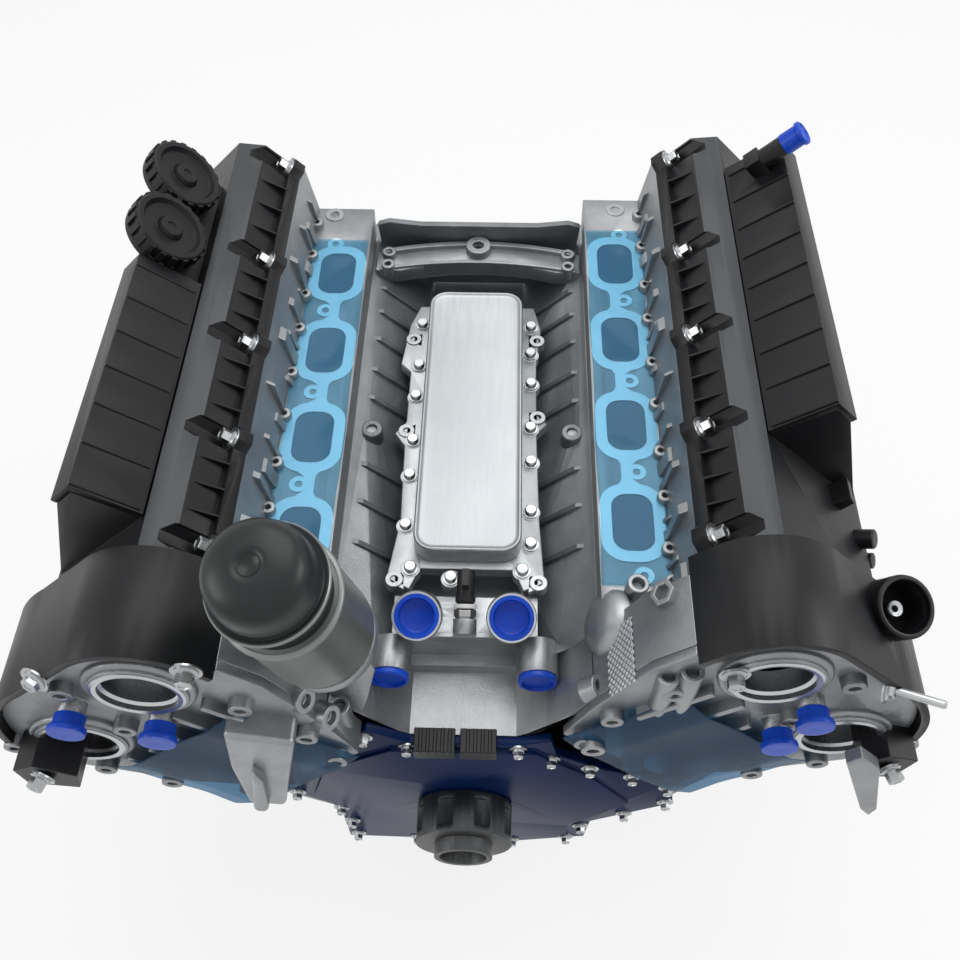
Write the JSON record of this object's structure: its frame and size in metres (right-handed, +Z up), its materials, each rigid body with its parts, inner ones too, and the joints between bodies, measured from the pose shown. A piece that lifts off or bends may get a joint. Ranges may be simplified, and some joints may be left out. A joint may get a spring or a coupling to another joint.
{
  "type": "complete v8 engine",
  "caption": "Aluminium V8 petrol engine with double camshaft heads, timing drive, plate oil cooler in the valley, upright oil filter and transport caps.",
  "frame": {"origin": "centre of the flywheel bolt circle, on the rear face of the crankshaft flange, on the crankshaft axis", "axes": "+Y along the crankshaft towards the flywheel, so the timing end faces -Y; +Z up between the banks; +X to the right as seen from the timing end"},
  "size_m": [0.7034, 0.606, 0.6548],
  "materials": {
    "cast_aluminium": "as-cast, fine grained",
    "machined_aluminium": "machined",
    "cooler_aluminium": "brushed",
    "forged_steel": "ground journals",
    "black_plastic": "moulded, satin",
    "cover_black": "smooth, semi-gloss",
    "filter_grey": "painted grey, satin",
    "gasket_silver": "coated sheet",
    "film_blue": "clear blue film",
    "cap_blue": "moulded",
    "rubber_black": "moulded"
  },
  "bodies": {
    "engine": {"breather_box_left": "black_plastic", "breather_box_right": "black_plastic", "breather_valves": "black_plastic", "cam_caps_left": "cast_aluminium", "cam_caps_right": "cast_aluminium", "cam_cover_left": "black_plastic", "cam_cover_right": "black_plastic", "chain_guides_left": "black_plastic", "chain_guides_right": "black_plastic", "coolant_outlet": "cast_aluminium", "cooler_plate": "cooler_aluminium", "cylinder_head_left": "cast_aluminium", "cylinder_head_right": "cast_aluminium", "engine_block": "cast_aluminium", "front_cover": "cover_black", "front_seal": "rubber_black", "head_gasket_left": "gasket_silver", "head_gasket_right": "gasket_silver", "intake_gasket_left": "gasket_silver", "intake_gasket_right": "gasket_silver", "main_bearing_caps": "cast_aluminium", "oil_cooler": "cooler_aluminium", "oil_filter_bracket": "cast_aluminium", "oil_filter_cap": "black_plastic", "oil_filter_housing": "filter_grey", "oil_pan": "cast_aluminium", "oil_pickup": "cast_aluminium", "oil_pump": "cast_aluminium", "port_film_left": "film_blue", "port_film_right": "film_blue", "rear_seal_carrier": "cast_aluminium", "timing_chain_left": "forged_steel", "timing_chain_right": "forged_steel", "timing_cover_left": "machined_aluminium", "timing_cover_right": "machined_aluminium", "transit_caps": "cap_blue", "valley_sensor": "black_plastic"},
    "crankshaft": {"crankshaft": "forged_steel", "crank_sprocket": "forged_steel", "crank_hub": "forged_steel"},
    "camshaft_intake_right": {"camshaft_intake_right": "forged_steel", "cam_phaser_intake_right": "forged_steel"},
    "camshaft_exhaust_right": {"camshaft_exhaust_right": "forged_steel", "cam_phaser_exhaust_right": "forged_steel"},
    "piston_right_1": {"piston_right_1": "machined_aluminium"},
    "piston_right_2": {"piston_right_2": "machined_aluminium"},
    "piston_right_3": {"piston_right_3": "machined_aluminium"},
    "piston_right_4": {"piston_right_4": "machined_aluminium"},
    "camshaft_intake_left": {"camshaft_intake_left": "forged_steel", "cam_phaser_intake_left": "forged_steel"},
    "camshaft_exhaust_left": {"camshaft_exhaust_left": "forged_steel", "cam_phaser_exhaust_left": "forged_steel"},
    "piston_left_1": {"piston_left_1": "machined_aluminium"},
    "piston_left_2": {"piston_left_2": "machined_aluminium"},
    "piston_left_3": {"piston_left_3": "machined_aluminium"},
    "piston_left_4": {"piston_left_4": "machined_aluminium"}
  },
  "joints": [
    {"name": "crankshaft_turn", "type": "hinge", "parent": "engine", "child": "crankshaft", "pos_m": [0, 0, 0], "axis": [0, 1, 0], "continuous": true},
    {"name": "camshaft_intake_right_turn", "type": "hinge", "parent": "engine", "child": "camshaft_intake_right", "pos_m": [0.22062, -0.3, 0.2885], "axis": [0, 1, 0], "continuous": true},
    {"name": "camshaft_exhaust_right_turn", "type": "hinge", "parent": "engine", "child": "camshaft_exhaust_right", "pos_m": [0.29062, -0.3, 0.19163], "axis": [0, 1, 0], "continuous": true},
    {"name": "piston_right_1_stroke", "type": "slide", "parent": "engine", "child": "piston_right_1", "axis": [0.7071, 0, 0.7071], "range_m": [-0.07573, 0.01727]},
    {"name": "piston_right_2_stroke", "type": "slide", "parent": "engine", "child": "piston_right_2", "axis": [0.7071, 0, 0.7071], "range_m": [-0.00997, 0.08303]},
    {"name": "piston_right_3_stroke", "type": "slide", "parent": "engine", "child": "piston_right_3", "axis": [0.7071, 0, 0.7071], "range_m": [-0.07573, 0.01727]},
    {"name": "piston_right_4_stroke", "type": "slide", "parent": "engine", "child": "piston_right_4", "axis": [0.7071, 0, 0.7071], "range_m": [-0.00997, 0.08303]},
    {"name": "camshaft_intake_left_turn", "type": "hinge", "parent": "engine", "child": "camshaft_intake_left", "pos_m": [-0.22062, -0.3, 0.2885], "axis": [0, 1, 0], "continuous": true},
    {"name": "camshaft_exhaust_left_turn", "type": "hinge", "parent": "engine", "child": "camshaft_exhaust_left", "pos_m": [-0.29062, -0.3, 0.19163], "axis": [0, 1, 0], "continuous": true},
    {"name": "piston_left_1_stroke", "type": "slide", "parent": "engine", "child": "piston_left_1", "axis": [-0.7071, 0, 0.7071], "range_m": [-0.07573, 0.01727]},
    {"name": "piston_left_2_stroke", "type": "slide", "parent": "engine", "child": "piston_left_2", "axis": [-0.7071, 0, 0.7071], "range_m": [-0.07573, 0.01727]},
    {"name": "piston_left_3_stroke", "type": "slide", "parent": "engine", "child": "piston_left_3", "axis": [-0.7071, 0, 0.7071], "range_m": [-0.00997, 0.08303]},
    {"name": "piston_left_4_stroke", "type": "slide", "parent": "engine", "child": "piston_left_4", "axis": [-0.7071, 0, 0.7071], "range_m": [-0.00997, 0.08303]}
  ],
  "couplings": [
    {"joint": "camshaft_intake_right_turn", "follows": "crankshaft_turn", "ratio": 0.5},
    {"joint": "camshaft_exhaust_right_turn", "follows": "crankshaft_turn", "ratio": 0.5},
    {"joint": "camshaft_intake_left_turn", "follows": "crankshaft_turn", "ratio": 0.5},
    {"joint": "camshaft_exhaust_left_turn", "follows": "crankshaft_turn", "ratio": 0.5}
  ]
}
